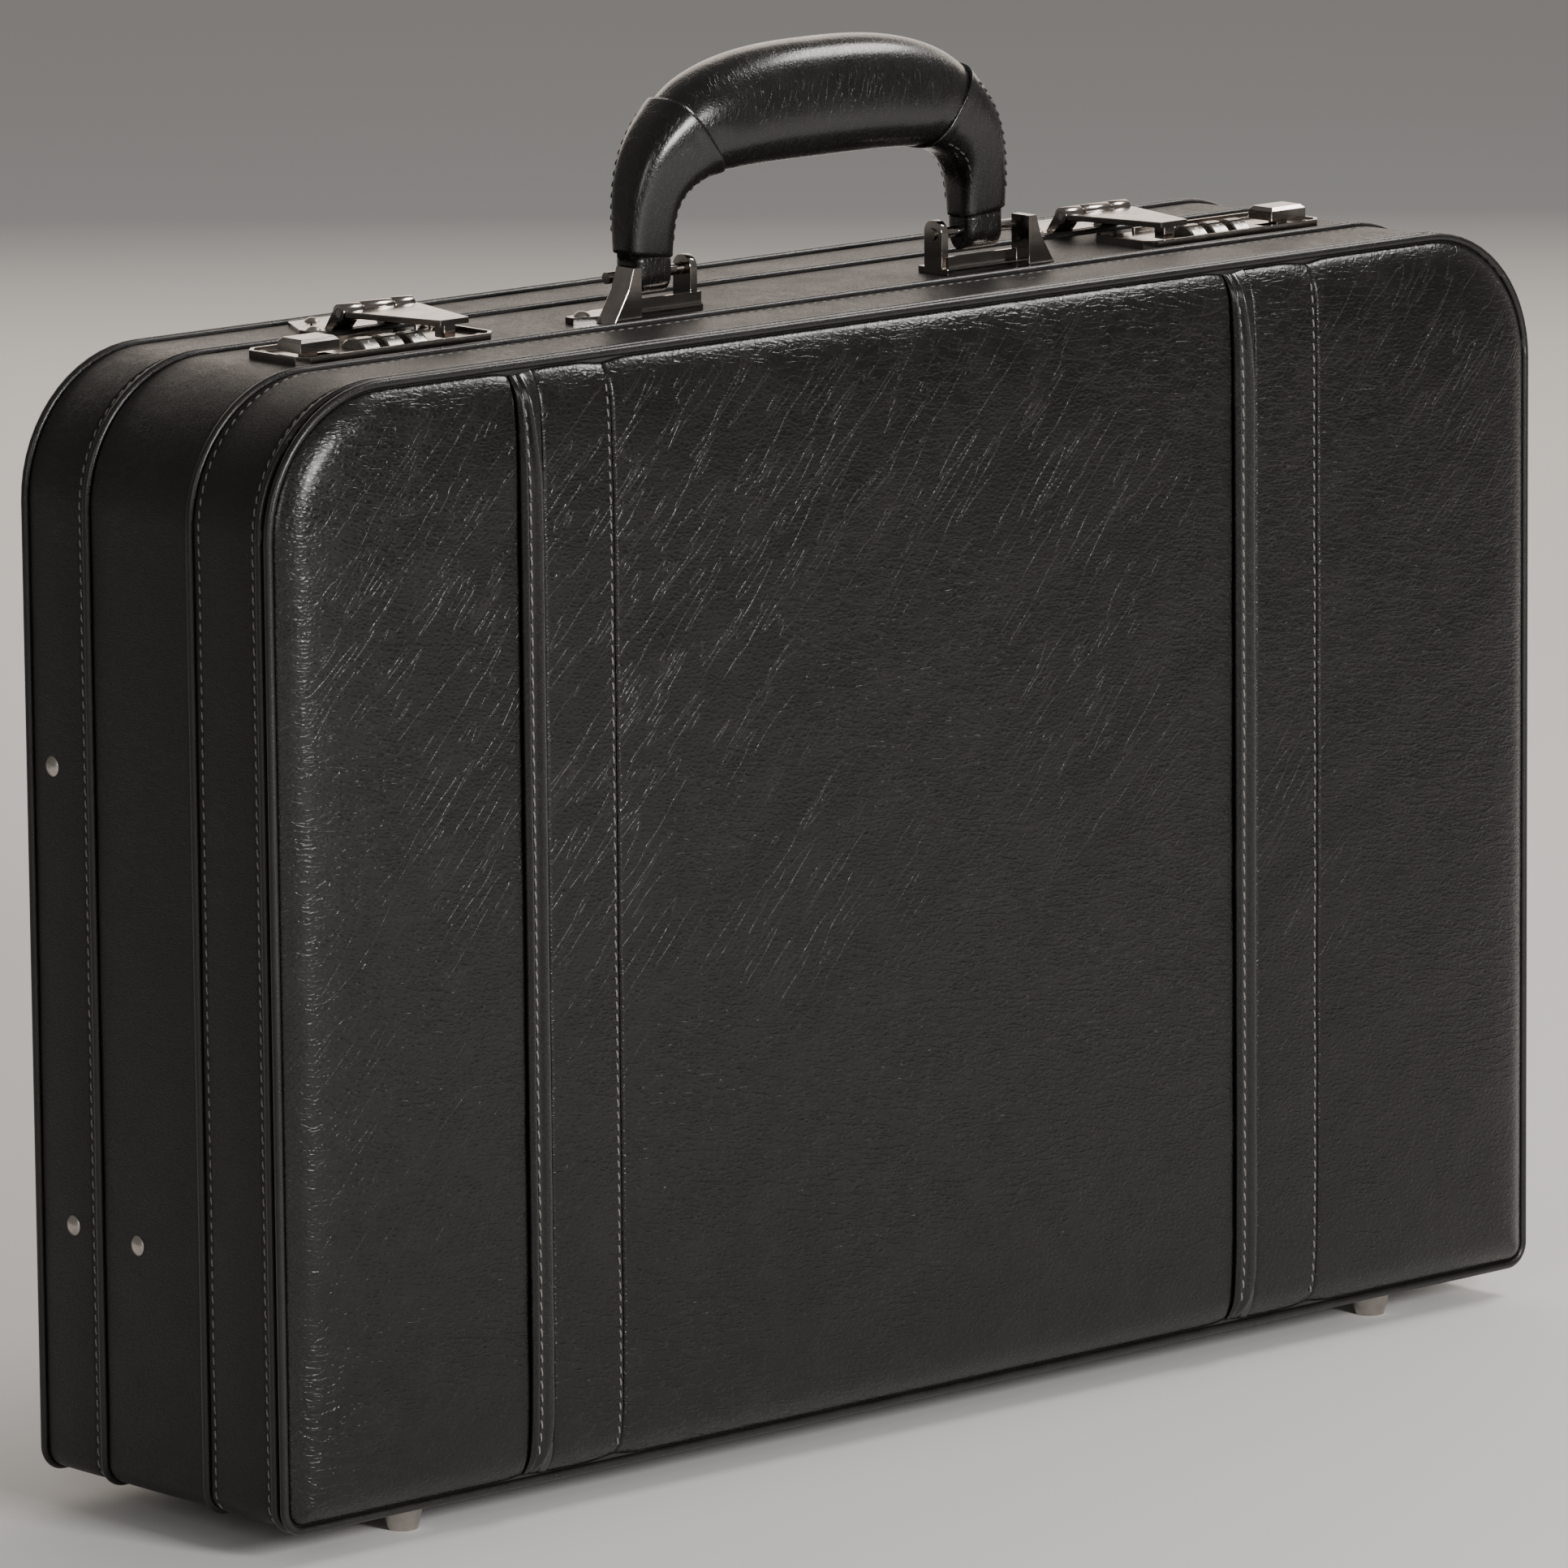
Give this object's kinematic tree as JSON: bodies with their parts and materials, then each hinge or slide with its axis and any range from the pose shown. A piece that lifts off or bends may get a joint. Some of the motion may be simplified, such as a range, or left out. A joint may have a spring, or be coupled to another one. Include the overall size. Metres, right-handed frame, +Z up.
{
  "type": "leather attache case",
  "caption": "Black leather attache case with a padded front, hinged lid, swinging handle, combination locks with hasps, lid stays and metal feet.",
  "frame": {"origin": "on the floor under the middle of the case, in the plane of the foot bottoms", "axes": "+X along the case to the viewer's right, -Y out of the padded front face, +Z up through the handle"},
  "size_m": [0.4602, 0.1128, 0.376],
  "materials": {
    "case_leather": "smooth fine-grain black leather, semi-matt",
    "panel_leather": "tumbled black leather, soft gloss",
    "handle_leather": "tumbled black leather, soft gloss",
    "piping": "black piping leather",
    "board": "fibreboard, sealed under the covering",
    "foam": "foam padding under the leather",
    "lining": "dark woven lining",
    "gunmetal": "dark nickel plating, polished",
    "nickel": "satin nickel",
    "steel": "plain steel",
    "dials": "nickel-plated number wheels",
    "trim": "dark anodised rim strip"
  },
  "bodies": {
    "case_body": {"case_frame": "board", "front_board": "board", "front_padding": "foam", "front_panel_left": "panel_leather", "front_strip_left": "panel_leather", "front_panel_centre": "panel_leather", "front_strip_right": "panel_leather", "front_panel_right": "panel_leather", "front_rib_left": "panel_leather", "front_rib_right": "panel_leather", "front_band_leather": "case_leather", "middle_band_leather": "case_leather", "front_double_piping": "piping", "band_piping": "piping", "case_lining": "lining", "rim_lip": "trim", "hinge_leaf_case": "steel", "hinge_pin": "steel", "front_feet": "nickel", "handle_bracket_left": "gunmetal", "handle_bracket_right": "gunmetal", "handle_pins": "gunmetal", "bracket_rivets": "gunmetal", "lock_body_left": "gunmetal", "lock_body_right": "gunmetal", "dial_axles": "steel", "case_rivets": "nickel", "stay_pivots": "nickel"},
    "lid": {"lid_frame": "board", "lid_board": "board", "rear_panel": "panel_leather", "lid_band_leather": "case_leather", "lid_edge_piping": "piping", "rear_piping": "piping", "lid_lining": "lining", "document_pocket": "lining", "hinge_leaf_lid": "steel", "rear_feet": "nickel", "hasp_plate_left": "gunmetal", "hasp_plate_right": "gunmetal", "hasp_pins": "gunmetal", "lid_rivets": "nickel", "stay_rail_left": "nickel", "stay_rail_right": "nickel"},
    "handle": {"handle_core": "steel", "handle_grip": "handle_leather", "handle_wrap_left": "handle_leather", "handle_wrap_right": "handle_leather"},
    "dial_left_1": {"dial_left_1": "dials"},
    "dial_left_2": {"dial_left_2": "dials"},
    "dial_left_3": {"dial_left_3": "dials"},
    "slide_button_left": {"slide_button_left": "gunmetal"},
    "hasp_left": {"hasp_left": "gunmetal"},
    "stay_left": {"stay_arm_left": "nickel"},
    "dial_right_1": {"dial_right_1": "dials"},
    "dial_right_2": {"dial_right_2": "dials"},
    "dial_right_3": {"dial_right_3": "dials"},
    "slide_button_right": {"slide_button_right": "gunmetal"},
    "hasp_right": {"hasp_right": "gunmetal"},
    "stay_right": {"stay_arm_right": "nickel"}
  },
  "joints": [
    {"name": "lid_open", "type": "hinge", "parent": "case_body", "child": "lid", "pos_m": [0, 0.02325, 0.0086], "axis": [-1, 0, 0], "range_deg": [0, 92]},
    {"name": "handle_swing", "type": "hinge", "parent": "case_body", "child": "handle", "pos_m": [0, -0.005, 0.319], "axis": [1, 0, 0], "range_deg": [-80, 80]},
    {"name": "dial_left_1_spin", "type": "hinge", "parent": "case_body", "child": "dial_left_1", "pos_m": [-0.142, -0.0042, 0.3055], "axis": [1, 0, 0], "continuous": true},
    {"name": "dial_left_2_spin", "type": "hinge", "parent": "case_body", "child": "dial_left_2", "pos_m": [-0.1502, -0.0042, 0.3055], "axis": [1, 0, 0], "continuous": true},
    {"name": "dial_left_3_spin", "type": "hinge", "parent": "case_body", "child": "dial_left_3", "pos_m": [-0.1584, -0.0042, 0.3055], "axis": [1, 0, 0], "continuous": true},
    {"name": "button_left_slide", "type": "slide", "parent": "case_body", "child": "slide_button_left", "axis": [1, 0, 0], "range_m": [0, 0.005], "stiffness_N_per_m": 300, "springref_m": -0.002},
    {"name": "hasp_left_lift", "type": "hinge", "parent": "lid", "child": "hasp_left", "pos_m": [-0.131, 0.023, 0.314], "axis": [-1, 0, 0], "range_deg": [0, 110]},
    {"name": "stay_left_swing", "type": "hinge", "parent": "case_body", "child": "stay_left", "pos_m": [-0.219, 0.00835, 0.0766], "axis": [-1, 0, 0], "range_deg": [0, 118]},
    {"name": "dial_right_1_spin", "type": "hinge", "parent": "case_body", "child": "dial_right_1", "pos_m": [0.142, -0.0042, 0.3055], "axis": [1, 0, 0], "continuous": true},
    {"name": "dial_right_2_spin", "type": "hinge", "parent": "case_body", "child": "dial_right_2", "pos_m": [0.1502, -0.0042, 0.3055], "axis": [1, 0, 0], "continuous": true},
    {"name": "dial_right_3_spin", "type": "hinge", "parent": "case_body", "child": "dial_right_3", "pos_m": [0.1584, -0.0042, 0.3055], "axis": [1, 0, 0], "continuous": true},
    {"name": "button_right_slide", "type": "slide", "parent": "case_body", "child": "slide_button_right", "axis": [-1, 0, 0], "range_m": [0, 0.005], "stiffness_N_per_m": 300, "springref_m": -0.002},
    {"name": "hasp_right_lift", "type": "hinge", "parent": "lid", "child": "hasp_right", "pos_m": [0.131, 0.023, 0.314], "axis": [-1, 0, 0], "range_deg": [0, 110]},
    {"name": "stay_right_swing", "type": "hinge", "parent": "case_body", "child": "stay_right", "pos_m": [0.219, 0.00835, 0.0766], "axis": [-1, 0, 0], "range_deg": [0, 118]}
  ],
  "couplings": [
    {"joint": "stay_left_swing", "follows": "lid_open", "ratio": 1.279},
    {"joint": "stay_right_swing", "follows": "lid_open", "ratio": 1.279}
  ]
}
